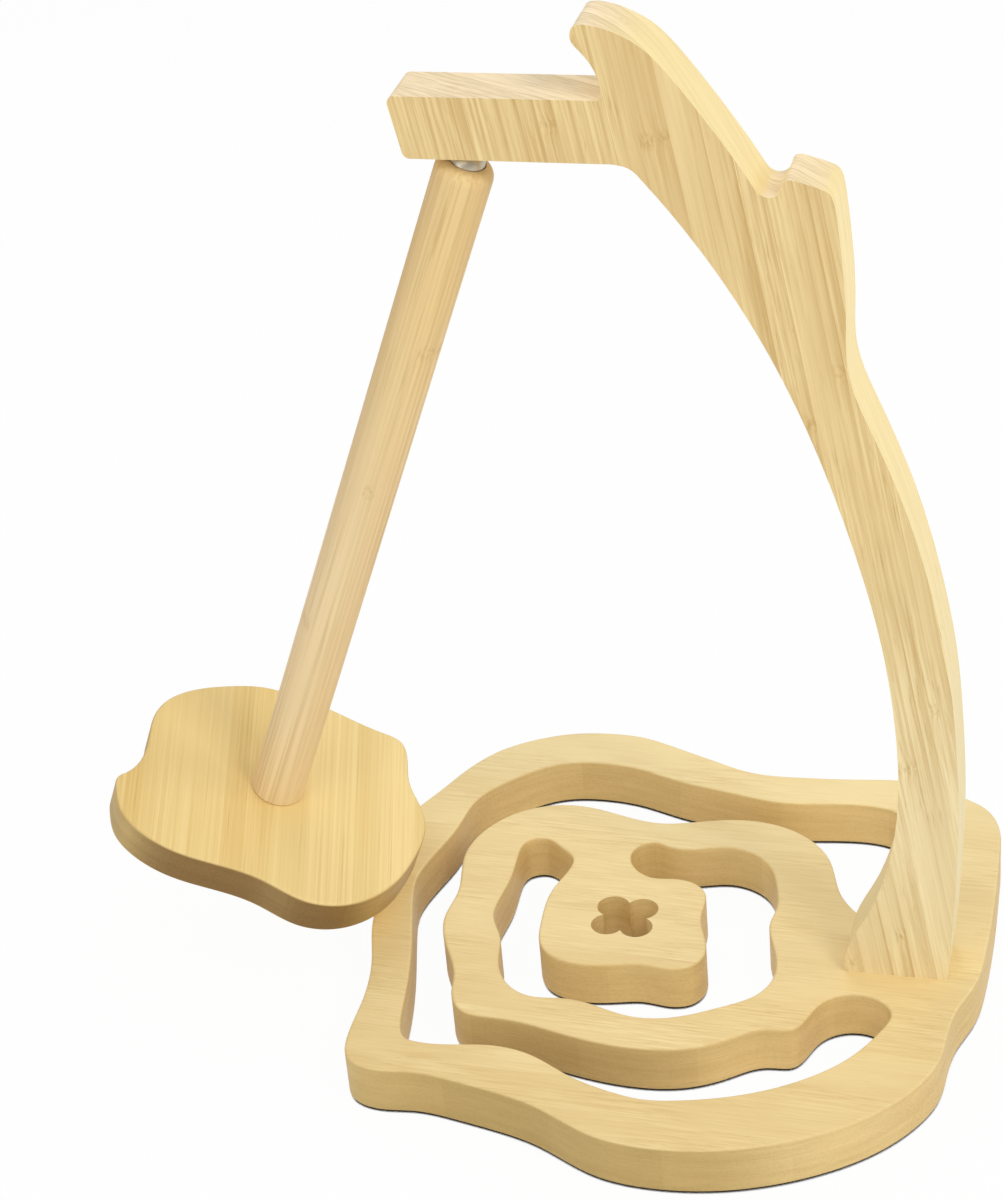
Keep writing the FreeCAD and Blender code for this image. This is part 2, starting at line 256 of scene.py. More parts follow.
@dataclass(frozen=True)
class Grain:
    """Pressed bamboo: strips side by side, fibres along them and a knuckle here and there.

    A scale counts turns a metre, or multiplies the fibres' own. Marks say where a pattern begins and where it
    is full. A strength is a share of the way from the pale tone to the dark one.
    """

    mean_tone: float = 0.4
    width_scale: Triple = (1.0, 0.37, 1.0)
    width_swing: float = 2.2
    glue_share: float = 0.22
    swirl_scale: Triple = (500.0, 900.0, 900.0)
    knuckle_reach: float = 4.0 * MILLIMETRE
    knuckle_raggedness: float = 5.0 * MILLIMETRE
    knuckle_marks: Pair = (0.42, 0.62)
    knuckle_strength: float = 0.4
    knuckle_bend: float = 0.5 * MILLIMETRE
    strip_shift: float = 0.5
    fibre_marks: Pair = (0.30, 0.70)
    fibre_relief: float = 0.5
    pore_scale: Triple = (2.4, 0.8, 0.8)
    pore_marks: Pair = (0.56, 0.76)
    cloud_scale: Triple = (0.4, 0.05, 0.05)
    cloud_strength: float = 0.7
    patch_scale: Triple = (18.0, 70.0, 70.0)
    patch_marks: Pair = (0.35, 0.65)
    least_strength: float = 0.5

    def build(self) -> bpy.types.NodeTree:
        """Builds the group that draws the grain.

        Its place input has x along the fibres and y across the strips. Fineness counts the fibres' turns a
        metre. The slope tilts the tone across the place, which paints light on some finishes. The stretch
        holds where along the fibres the wood begins to be made paler, where it is palest, and by how much; on
        the arm this is painted light.

        Returns:
            The node group, which puts out a tone from 0, pale, to 1, dark, a height, and how far the wood is
            made paler, which on the arm is painted light.
        """
        graph, given = new_group(
            "bamboo_grain",
            {
                "Place": "Vector",
                "Strip Width": "Float",
                "Strip Contrast": "Float",
                "Strip Shade": "Float",
                "Glue Line": "Float",
                "Fineness": "Vector",
                "Fibre Contrast": "Float",
                "Pore Contrast": "Float",
                "Knuckle Spacing": "Float",
                "Light And Tone Slope": "Vector",
                "Light And Tone Stretch": "Vector",
                "Seed": "Float",
            },
            {"Tone": "Float", "Height": "Float", "Light And Tone Paler": "Float"},
        )
        place = given["Place"]
        parts = graph.add("ShaderNodeSeparateXYZ", {0: place}).outputs

        # Strips of uneven width, each with its own tone, which fades from one side to the other
        turns = graph.number("DIVIDE", parts["Y"], given["Strip Width"])
        turns_place = graph.add("ShaderNodeCombineXYZ", {"Y": turns, "Z": given["Seed"]}).outputs[0]
        uneven = graph.noise(graph.scaled(turns_place, self.width_scale), detail=0.0)
        turns = graph.number("ADD", turns, graph.number("MULTIPLY", uneven, self.width_swing))
        inside = graph.number("FRACT", turns)
        fade = graph.number("SUBTRACT", HALF, inside)
        glue = graph.opposite(graph.ramp(inside, 0.0, self.glue_share))
        dice = graph.dice(X=graph.number("FLOOR", turns), Z=given["Seed"])

        # Knuckles: one short band in each strip, every so often
        spot = graph.number("ADD", graph.number("DIVIDE", parts["X"], given["Knuckle Spacing"]), dice)
        from_knuckle = graph.number("ABSOLUTE", graph.number("SUBTRACT", graph.number("FRACT", spot), HALF))
        away = graph.number("MULTIPLY", from_knuckle, given["Knuckle Spacing"])
        swirl = graph.noise(graph.scaled(place, self.swirl_scale), detail=3.0)
        ragged = graph.number("ADD", away, graph.swing(swirl, self.knuckle_raggedness))
        knuckle = graph.opposite(graph.ramp(ragged, 0.0, self.knuckle_reach))
        knuckle_mark = graph.number("MULTIPLY", knuckle, graph.ramp(swirl, *self.knuckle_marks))

        # Fibres: noise drawn out along the strip, bent beside a knuckle and shifted from strip to strip
        shift = graph.number("MULTIPLY", dice, self.strip_shift)
        bending = graph.number("MULTIPLY", graph.number("MULTIPLY", swirl, knuckle), self.knuckle_bend)
        bent = graph.number("ADD", shift, bending)
        bend = graph.add("ShaderNodeCombineXYZ", {"X": shift, "Y": bent, "Z": bent}).outputs[0]
        fibre_place = graph.vector("MULTIPLY", graph.vector("ADD", place, bend), given["Fineness"])
        fibre = graph.ramp(graph.noise(fibre_place, detail=3.0, roughness=0.6), *self.fibre_marks)
        pore = graph.noise(graph.scaled(fibre_place, self.pore_scale), detail=3.0, roughness=0.7)
        pore_mark = graph.ramp(pore, *self.pore_marks)
        cloud = graph.noise(graph.scaled(fibre_place, self.cloud_scale))

        # Patches in which fibres and pores are fainter or stronger
        patch = graph.noise(graph.scaled(place, self.patch_scale), detail=1.0)
        strength = graph.number("ADD", graph.ramp(patch, *self.patch_marks), self.least_strength)
        fibre_strength = graph.number("MULTIPLY", strength, given["Fibre Contrast"])
        pores = graph.number("MULTIPLY", pore_mark, strength)

        tone = graph.tone_of(
            self.mean_tone,
            [
                graph.swing(dice, given["Strip Contrast"]),
                graph.number("MULTIPLY", fade, given["Strip Shade"]),
                graph.number("MULTIPLY", glue, given["Glue Line"]),
                graph.swing(fibre, fibre_strength),
                graph.number("MULTIPLY", pores, given["Pore Contrast"]),
                graph.swing(cloud, self.cloud_strength),
                graph.number("MULTIPLY", knuckle_mark, self.knuckle_strength),
                # A slope of tone across the place: painted light on the base and the arm; on the plate, a
                # darker left and a paler right
                graph.vector("DOT_PRODUCT", place, given["Light And Tone Slope"]),
            ],
        )
        relief = graph.number("MULTIPLY", fibre, self.fibre_relief)
        height = graph.opposite(graph.number("ADD", pore_mark, relief))
        # Paler along one stretch of the fibres: painted light at the arm's foot, a plain paler lower end on
        # the rod
        begin, palest, share = graph.add("ShaderNodeSeparateXYZ", {0: given["Light And Tone Stretch"]}).outputs
        light_and_tone_paler = graph.number("MULTIPLY", graph.ramp(parts["X"], begin, palest), share)
        graph.add("NodeGroupOutput", {"Tone": tone, "Height": height, "Light And Tone Paler": light_and_tone_paler})
        return graph.tree


@dataclass(frozen=True)
class SawnEdges:
    """What shows where a board is sawn: glued blocks, soft layers and the ends of the fibre bundles.

    Scales, marks and strengths are meant as in the grain.
    """

    mean_tone: float = 0.4
    facing_marks: Pair = (0.25, 0.95)
    end_marks: Pair = (0.65, 1.0)
    block_strength: float = 0.46
    band_scale: Triple = (22.0, 22.0, 420.0)
    band_strength: float = 1.2
    streak_scale: Triple = (90.0, 90.0, 1500.0)
    streak_strength: float = 0.9
    dot_stretch: Triple = (0.6, 1.0, 1.4)
    dot_scale: float = 1300.0
    dot_marks: Pair = (0.1, 0.55)
    dot_strength: float = 0.3
    end_dot_strength: float = 0.4
    painted_shade_fade: float = 0.02

    def build(self) -> bpy.types.NodeTree:
        """Builds the group that finds a board's sawn edges and draws them.

        Its place input is the grain's own, so that the cut strips line up with the strips on the face.

        Returns:
            The node group, which puts out how far a surface is a board's edge, how far it cuts across the
            fibres, the tone of the edge from 0, pale, to 1, dark, and how far the place lies in the stretch
            of painted shade.
        """
        graph, given = new_group(
            "sawn_edges",
            {
                "Place": "Vector",
                "Board Axis": "Vector",
                "Fibre Axis": "Vector",
                "Joint Spacing": "Float",
                "Layer Height": "Float",
                "Painted Shade Place": "Vector",
                "Painted Shade Reach": "Float",
                "Seed": "Float",
            },
            {"Edge": "Float", "End Grain": "Float", "Tone": "Float", "Painted Shade": "Float"},
        )
        place = given["Place"]
        surface = graph.add("ShaderNodeTexCoord").outputs
        facing = graph.number("ABSOLUTE", graph.vector("DOT_PRODUCT", surface["Normal"], given["Board Axis"]))
        across = graph.number("ABSOLUTE", graph.vector("DOT_PRODUCT", surface["Normal"], given["Fibre Axis"]))
        edge = graph.opposite(graph.ramp(facing, *self.facing_marks))
        end_grain = graph.ramp(across, *self.end_marks)

        # Glued blocks, each with its own tone, and soft bands along the layers
        parts = graph.add("ShaderNodeSeparateXYZ", {0: place}).outputs
        block = graph.number("FLOOR", graph.number("DIVIDE", parts["X"], given["Joint Spacing"]))
        layer = graph.number("FLOOR", graph.number("DIVIDE", parts["Z"], given["Layer Height"]))
        dice = graph.dice(X=block, Y=layer, Z=given["Seed"])
        bands = graph.noise(graph.scaled(place, self.band_scale), detail=3.0, roughness=0.6)
        streaks = graph.noise(graph.scaled(place, self.streak_scale), roughness=0.7)

        # The ends of the fibre bundles: fine dots, thicker where the cut is straight across
        dot_place = {"Vector": graph.scaled(place, self.dot_stretch), "Scale": self.dot_scale}
        from_dot = graph.add("ShaderNodeTexVoronoi", dot_place).outputs["Distance"]
        dot = graph.opposite(graph.ramp(from_dot, *self.dot_marks))
        end_share = graph.number("MULTIPLY", end_grain, self.end_dot_strength)
        tone = graph.tone_of(
            self.mean_tone,
            [
                graph.swing(dice, self.block_strength),
                graph.swing(bands, self.band_strength),
                graph.swing(streaks, self.streak_strength),
                graph.number("MULTIPLY", dot, graph.number("ADD", end_share, self.dot_strength)),
            ],
        )

        # Painted shade: one stretch of the rim, at its front, is darker and browner, standing in for the
        # shade on its walls
        distance = {0: surface["Object"], 1: given["Painted Shade Place"]}
        away = graph.add("ShaderNodeVectorMath", distance, operation="DISTANCE").outputs["Value"]
        past = graph.number("SUBTRACT", away, given["Painted Shade Reach"])
        painted_shade = graph.opposite(graph.ramp(past, -self.painted_shade_fade, self.painted_shade_fade))
        graph.add("NodeGroupOutput", {"Edge": edge, "End Grain": end_grain, "Tone": tone, "Painted Shade": painted_shade})
        return graph.tree


@dataclass(frozen=True)
class BambooFinish:
    """Sanded and lacquered bamboo.

    The grain's place is measured from origin, in a frame whose x runs along the fibres. Edge is the colour
    where a board is sawn along the fibres, end where it is sawn across them, and a depth says how far the
    dark parts of either have aged. Two multipliers make the colours paler along a stretch of the fibres:
    painted light at the arm's foot, and a plain paler lower end on the rod.
    """

    name: str
    pale: Triple
    dark: Triple
    edge: Triple
    end: Triple
    fibre_axis: Vector
    layer_axis: Vector
    face_axis: Vector
    fineness: Triple
    origin: Vector = field(default_factory=Vector)
    strip_width: float = 0.006
    strip_contrast: float = 0.3
    strip_shade: float = 0.0
    glue_line: float = 0.0
    fibre_contrast: float = 0.5
    pore_contrast: float = 0.4
    knuckle_spacing: float = 0.25
    # A slope of tone, which paints light on the base and the arm
    light_and_tone_slope: Triple = (0.0, 0.0, 0.0)
    # Where the colours are made paler: painted light on the arm, plain tone on the rod
    light_and_tone_stretch: Triple = (0.0, 1.0, 0.0)
    light_and_tone_paler: Triple = (1.09, 1.19, 1.42)
    edge_light_and_tone_paler: Triple = (1.0, 1.0, 1.0)
    edge_grain: float = 0.0
    edge_depth: float = 1.0
    end_depth: float = 1.0
    joint_spacing: float = 0.05
    layer_height: float = 0.006
    edge_marks: Pair = (0.15, 0.95)
    # Painted shade: the cut colours darken and brown near this place, within this reach
    painted_shade_place: Triple = (0.0, 0.0, 0.0)
    painted_shade_reach: float = -1.0
    painted_shade_depths: Pair = (1.6, 2.7)
    roughness: float = 0.48
    roughness_rise: float = 0.12
    relief: float = 0.25
    relief_depth: float = 0.1 * MILLIMETRE
    lacquer_shine: float = 0.35
    seed: float = 0.0

    def grain_turn(self) -> Euler:
        """Finds the turn of the grain's own frame.

        Returns:
            The turn of a frame whose x runs along the fibres and whose y crosses the strips.
        """
        along = self.fibre_axis.normalized()
        across = (self.layer_axis - along * self.layer_axis.dot(along)).normalized()
        columns = Matrix((along, across, along.cross(across))).transposed()
        return columns.to_euler()

    def material(self, grain: bpy.types.NodeTree, cut: bpy.types.NodeTree) -> Material:
        """Builds the material.

        Args:
            grain: The node group of the bamboo's grain.
            cut: The node group of the sawn edges.

        Returns:
            The new material.
        """
        made = bpy.data.materials.new(self.name)
        made.use_nodes = True
        graph = Graph(made.node_tree)
        seen_from = graph.add("ShaderNodeTexCoord").outputs["Object"]
        placing = {"Vector": seen_from, "Location": self.origin, "Rotation": self.grain_turn()}
        place = graph.add("ShaderNodeMapping", placing, vector_type="TEXTURE").outputs[0]
        drawn = graph.group(
            grain,
            {
                "Place": place,
                "Strip Width": self.strip_width,
                "Strip Contrast": self.strip_contrast,
                "Strip Shade": self.strip_shade,
                "Glue Line": self.glue_line,
                "Fineness": self.fineness,
                "Fibre Contrast": self.fibre_contrast,
                "Pore Contrast": self.pore_contrast,
                "Knuckle Spacing": self.knuckle_spacing,
                "Light And Tone Slope": self.light_and_tone_slope,
                "Light And Tone Stretch": self.light_and_tone_stretch,
                "Seed": self.seed,
            },
        )
        sawn = graph.group(
            cut,
            {
                "Place": place,
                "Board Axis": self.face_axis,
                "Fibre Axis": self.fibre_axis.normalized(),
                "Joint Spacing": self.joint_spacing,
                "Layer Height": self.layer_height,
                "Painted Shade Place": self.painted_shade_place,
                "Painted Shade Reach": self.painted_shade_reach,
                "Seed": self.seed,
            },
        )
        board = graph.mix(drawn["Tone"], self.pale, self.dark)
        # Paler colours along the stretch, which on the arm is painted light
        board = graph.mix(drawn["Light And Tone Paler"], board, graph.scaled(board, self.light_and_tone_paler))
        edge_tone = graph.blend(self.edge_grain, sawn["Tone"], graph.ramp(drawn["Tone"], *self.edge_marks))
        edge = graph.mix(edge_tone, self.edge, self.aged(self.edge, self.edge_depth))
        edge = graph.mix(drawn["Light And Tone Paler"], edge, graph.scaled(edge, self.edge_light_and_tone_paler))
        end = graph.mix(edge_tone, self.end, self.aged(self.end, self.end_depth))
        cut_colour = graph.mix(sawn["End Grain"], edge, end)
        # Painted shade: darker, browner cut colours near the front of the rim
        painted_shade = graph.mix(edge_tone, *(self.aged(self.edge, depth) for depth in self.painted_shade_depths))
        cut_colour = graph.mix(sawn["Painted Shade"], cut_colour, painted_shade)
        colour = graph.mix(sawn["Edge"], board, cut_colour)
        rise = graph.number("MULTIPLY", drawn["Tone"], self.roughness_rise)
        rough = graph.number("ADD", rise, self.roughness)
        pressed = {"Height": drawn["Height"], "Strength": self.relief, "Distance": self.relief_depth}
        bump = graph.add("ShaderNodeBump", pressed)
        surface = graph.add(
            "ShaderNodeBsdfPrincipled",
            {
                "Base Color": colour,
                "Roughness": rough,
                "Normal": bump.outputs[0],
                "Specular IOR Level": self.lacquer_shine,
            },
        )
        graph.add("ShaderNodeOutputMaterial", {"Surface": surface.outputs[0]})
        return made

    @staticmethod
    def aged(colour: Triple, depth: float) -> Triple:
        """Returns the darker and browner tone of a colour, at a depth where 1 is once aged."""
        return tuple(ageing ** depth * part for ageing, part in zip(AGEING, colour))


@dataclass(frozen=True)
class MetalFinish:
    """Plated, polished or turned metal."""

    name: str
    colour: Triple
    roughness: float
    unevenness: float = 0.08
    smear_scale: float = 700.0
    dullest: float = 0.88

    def material(self) -> Material:
        """Builds the material: bare metal whose polish varies a little.

        Returns:
            The new material.
        """
        made = bpy.data.materials.new(self.name)
        made.use_nodes = True
        graph = Graph(made.node_tree)
        place = graph.add("ShaderNodeTexCoord").outputs["Object"]
        smear = graph.noise(graph.scaled(place, (self.smear_scale,) * 3), detail=3.0)
        rough = graph.number("ADD", graph.number("MULTIPLY", smear, self.unevenness), self.roughness)
        dull = tuple(self.dullest * part for part in self.colour)
        surface = graph.add(
            "ShaderNodeBsdfPrincipled",
            {"Base Color": graph.mix(smear, self.colour, dull), "Roughness": rough, "Metallic": 1.0},
        )
        graph.add("ShaderNodeOutputMaterial", {"Surface": surface.outputs[0]})
        return made


@dataclass(frozen=True)
class RubberFinish:
    """Matt rubber with a fine cast texture."""

    name: str
    colour: Triple
    roughness: float = 0.8
    speck_scale: float = 2500.0
    dustiest: float = 1.8
    relief: float = 0.4
    relief_depth: float = 0.05 * MILLIMETRE

    def material(self) -> Material:
        """Builds the material.

        Returns:
            The new material.
        """
        made = bpy.data.materials.new(self.name)
        made.use_nodes = True
        graph = Graph(made.node_tree)
        place = graph.add("ShaderNodeTexCoord").outputs["Object"]
        speck = graph.noise(graph.scaled(place, (self.speck_scale,) * 3))
        dusty = tuple(self.dustiest * part for part in self.colour)
        cast = {"Height": speck, "Strength": self.relief, "Distance": self.relief_depth}
        bump = graph.add("ShaderNodeBump", cast)
        surface = graph.add(
            "ShaderNodeBsdfPrincipled",
            {
                "Base Color": graph.mix(speck, self.colour, dusty),
                "Roughness": self.roughness,
                "Normal": bump.outputs[0],
            },
        )
        graph.add("ShaderNodeOutputMaterial", {"Surface": surface.outputs[0]})
        return made


class Body(Enum):
    """The frame's bodies, which carry the pieces."""

    STAND = "stand"
    BALL = "ball"
    SWIVEL = "swivel"
    SPINDLE = "spindle"


def dress(body: Body, finishes: dict[str, Material]) -> None:
    """Gives the frame's nodes on one body their finishes.

    Args:
        body: The body that carries the nodes.
        finishes: The materials by the name of the record's slot.
    """
    slots = {part["node"]: part["material_slot"] for part in frame["record"]["subparts"]}
    for node in frame["record"]["behaviour"]["bodies"][body.value]:
        mesh = frame["nodes"][node].data
        mesh.materials.clear()
        mesh.materials.append(finishes[slots[node]])
        LOG.info("%s: %d faces on %s, in %s", node, len(mesh.polygons), body.value, slots[node])


def add_piece(
    name: str, mesh: bpy.types.Mesh, body: Body, stands_for: list[str]
) -> bpy.types.Object:
    """Puts a finished mesh into the scene as a piece of the object.

    Args:
        name: The piece's name.
        mesh: Its mesh, in the frame's own place, with its material.
        body: The body that carries it.
        stands_for: The nodes that it is shown for.

    Returns:
        The new object.
    """
    piece = bpy.data.objects.new(name, mesh)
    bpy.context.scene.collection.objects.link(piece)
    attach(piece, body.value)
    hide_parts(*stands_for)
    LOG.info("%s: %d faces on %s, for %s", name, len(mesh.polygons), body.value, ", ".join(stands_for))
    return piece


@dataclass
class Stand:
    """The base with its pads, and the arm with what is let into it.

    A corner nearer to a face than near lies on it, and corners nearer to each other than weld become one.
    """

    arm_rounding: float = 0.7 * MILLIMETRE
    rounding_steps: int = 3
    rim_angle: float = math.radians(60)
    flat_angle: float = math.radians(0.05)
    smooth_below: float = math.radians(35)
    near: float = 0.02 * MILLIMETRE
    weld: float = 0.002 * MILLIMETRE
    pad_edge: float = 0.2 * MILLIMETRE
    pad_sides: int = 48
    pads: int = 6

    def build_arm(self, material: Material) -> bpy.types.Object:
        """Makes the arm with its long edges rounded, from a merged copy of the frame's own arm.

        Args:
            material: The arm's finish.

        Returns:
            The arm's new piece.
        """
        low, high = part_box("arm")
        mesh = bmesh.new()
        mesh.from_mesh(frame["nodes"]["arm"].data)
        bmesh.ops.remove_doubles(mesh, verts=mesh.verts, dist=self.weld)
        bmesh.ops.dissolve_limit(
            mesh, angle_limit=self.flat_angle, use_dissolve_boundaries=False,
            verts=mesh.verts, edges=mesh.edges,
        )
        rims = []
        for edge in mesh.edges:
            ends = [vertex.co for vertex in edge.verts]
            on_face = any(all(abs(end.y - face) < self.near for end in ends) for face in (low.y, high.y))
            on_foot = all(abs(end.z - low.z) < self.near for end in ends)
            if on_face and not on_foot and edge.calc_face_angle(0.0) > self.rim_angle:
                rims.append(edge)
        bmesh.ops.bevel(
            mesh, geom=rims, offset=self.arm_rounding, segments=self.rounding_steps, profile=HALF,
            affect="EDGES", clamp_overlap=True,
        )
        shape = bpy.data.meshes.new("arm_softened")
        mesh.to_mesh(shape)
        mesh.free()
        shape.materials.clear()
        shape.materials.append(material)
        smoothed = self.smooth(shape)
        return add_piece("arm_softened", smoothed, Body.STAND, ["arm"])

    def smooth(self, shape: bpy.types.Mesh) -> bpy.types.Mesh:
        """Smooths the shading of a mesh, keeps its sharp edges, and lets its large faces stay flat.

        Args:
            shape: The mesh, which is used up.

        Returns:
            A plain mesh with its own normals.
        """
        shape.shade_smooth()
        shape.set_sharp_from_angle(angle=self.smooth_below)
        holder = bpy.data.objects.new("holder", shape)
        bpy.context.scene.collection.objects.link(holder)
        weights = holder.modifiers.new("flat_faces", "WEIGHTED_NORMAL")
        weights.keep_sharp = True
        graph = bpy.context.evaluated_depsgraph_get()
        plain = bpy.data.meshes.new_from_object(holder.evaluated_get(graph), depsgraph=graph)
        bpy.data.objects.remove(holder)
        return plain

    def pad_tree(self, material: Material) -> bpy.types.NodeTree:
        """Builds the Geometry Nodes tree that stands a round pad on each point.

        Args:
            material: The pads' finish.

        Returns:
            The tree, with inputs for the pads' radius, height and edge.
        """
        tree = bpy.data.node_groups.new("round_pads", "GeometryNodeTree")
        graph = Graph(tree)
        tree.interface.new_socket("Geometry", in_out="INPUT", socket_type="NodeSocketGeometry")
        for label in ("Radius", "Height", "Edge"):
            tree.interface.new_socket(label, in_out="INPUT", socket_type="NodeSocketFloat")
        tree.interface.new_socket("Geometry", in_out="OUTPUT", socket_type="NodeSocketGeometry")
        given = graph.add("NodeGroupInput").outputs
        body_height = graph.number("SUBTRACT", given["Height"], given["Edge"])
        drum = graph.add(
            "GeometryNodeMeshCylinder",
            {"Vertices": self.pad_sides, "Radius": given["Radius"], "Depth": body_height},
            fill_type="NGON",
        )
        rise = graph.number("ADD", graph.number("MULTIPLY", body_height, HALF), given["Edge"])
        lifted = graph.add(
            "GeometryNodeTransform",
            {
                "Geometry": drum.outputs["Mesh"],
                "Translation": graph.add("ShaderNodeCombineXYZ", {"Z": rise}).outputs[0],
            },
        )
        sole = graph.add(
            "GeometryNodeExtrudeMesh",
            {
                "Mesh": lifted.outputs[0],
                "Selection": drum.outputs["Bottom"],
                "Offset Scale": given["Edge"],
            },
            mode="FACES",
        )
        shrink = graph.opposite(graph.number("DIVIDE", given["Edge"], given["Radius"]))
        narrowed = graph.add(
            "GeometryNodeScaleElements",
            {"Geometry": sole.outputs["Mesh"], "Selection": sole.outputs["Top"], "Scale": shrink},
        )
        stood = graph.add(
            "GeometryNodeInstanceOnPoints",
            {"Points": given["Geometry"], "Instance": narrowed.outputs[0]},
        )
        real = graph.add("GeometryNodeRealizeInstances", {0: stood.outputs[0]})
        finished = graph.add("GeometryNodeSetMaterial", {"Geometry": real.outputs[0], "Material": material})
        graph.add("NodeGroupOutput", {"Geometry": finished.outputs[0]})
        return tree

    def build_pads(self, material: Material) -> bpy.types.Object:
        """Makes the pads under the base, one at the middle of each of the frame's pads.

        Args:
            material: The pads' finish.

        Returns:
            The piece that holds them all.
        """
        names = [f"foot_pad_{number}" for number in range(1, self.pads + 1)]
        boxes = [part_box(name) for name in names]
        middles = [((low.x + high.x) / 2, (low.y + high.y) / 2, low.z) for low, high in boxes]
        low, high = boxes[0]
        points = bpy.data.meshes.new("pad_points")
        points.from_pydata(middles, [], [])
        holder = bpy.data.objects.new("pad_points", points)
        bpy.context.scene.collection.objects.link(holder)
        maker = holder.modifiers.new("round_pads", "NODES")
        maker.node_group = self.pad_tree(material)
        sizes = {"Radius": (high.x - low.x) / 2, "Height": high.z - low.z, "Edge": self.pad_edge}
        for socket in maker.node_group.interface.items_tree:
            if socket.in_out == "INPUT" and socket.name in sizes:
                maker[socket.identifier] = sizes[socket.name]
        graph = bpy.context.evaluated_depsgraph_get()
        mesh = bpy.data.meshes.new_from_object(holder.evaluated_get(graph), depsgraph=graph)
        holder.modifiers.remove(maker)
        bpy.data.objects.remove(holder)
        return add_piece("foot_pads", mesh, Body.STAND, names)

    def build(self, finishes: dict[str, Material]) -> None:
        """Dresses the stand's nodes, and makes the arm and the pads.

        Args:
            finishes: The materials by the name of the record's slot.
        """
        dress(Body.STAND, finishes)
        self.build_arm(finishes["arm_bamboo"])
        self.build_pads(finishes["pad_rubber"])


@dataclass
class Spindle:
    """The ball and the hanging rod with its plate, swung aside at rest about the ball, in degrees."""

    side_tilt: float = 20.87
    back_tilt: float = 2.74
    rest_turn: float = 1.0
    bodies: tuple[Body, ...] = (Body.BALL, Body.SWIVEL, Body.SPINDLE)

    def pivot(self) -> Vector:
        """Returns the ball's centre."""
        low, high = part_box("pivot_ball")
        return (low + high) / 2

    def turn(self) -> Matrix:
        """Finds how the spindle is turned at rest.

        Returns:
            The turn that swings it from hanging straight to its rest pose.
        """
        side = Matrix.Rotation(math.radians(self.side_tilt), 3, "Y")
        back = Matrix.Rotation(math.radians(self.back_tilt), 3, "X")
        return side @ back @ Matrix.Rotation(math.radians(self.rest_turn), 3, "Z")

    def build(self, finishes: dict[str, Material]) -> None:
        """Dresses the nodes of the spindle's bodies with finishes by slot name."""
        for body in self.bodies:
            dress(body, finishes)


@dataclass(frozen=True)
class Lamp:
    """A soft square lamp. Its share is how white it makes white paper that faces it, where 1 is white."""

    name: str
    place: Triple
    size: float
    share: float

    def hang(self, middle: Triple) -> None:
        """Hangs the lamp so that it points at the object.

        Args:
            middle: The object's middle.
        """
        away = Vector(self.place) - Vector(middle)
        data = bpy.data.lights.new(self.name, "AREA")
        data.size = self.size
        data.energy = self.share * math.pi ** 2 * away.length_squared
        lamp = bpy.data.objects.new(self.name, data)
        bpy.context.scene.collection.objects.link(lamp)
        lamp.location = self.place
        lamp.rotation_euler = away.to_track_quat("Z", "Y").to_euler()


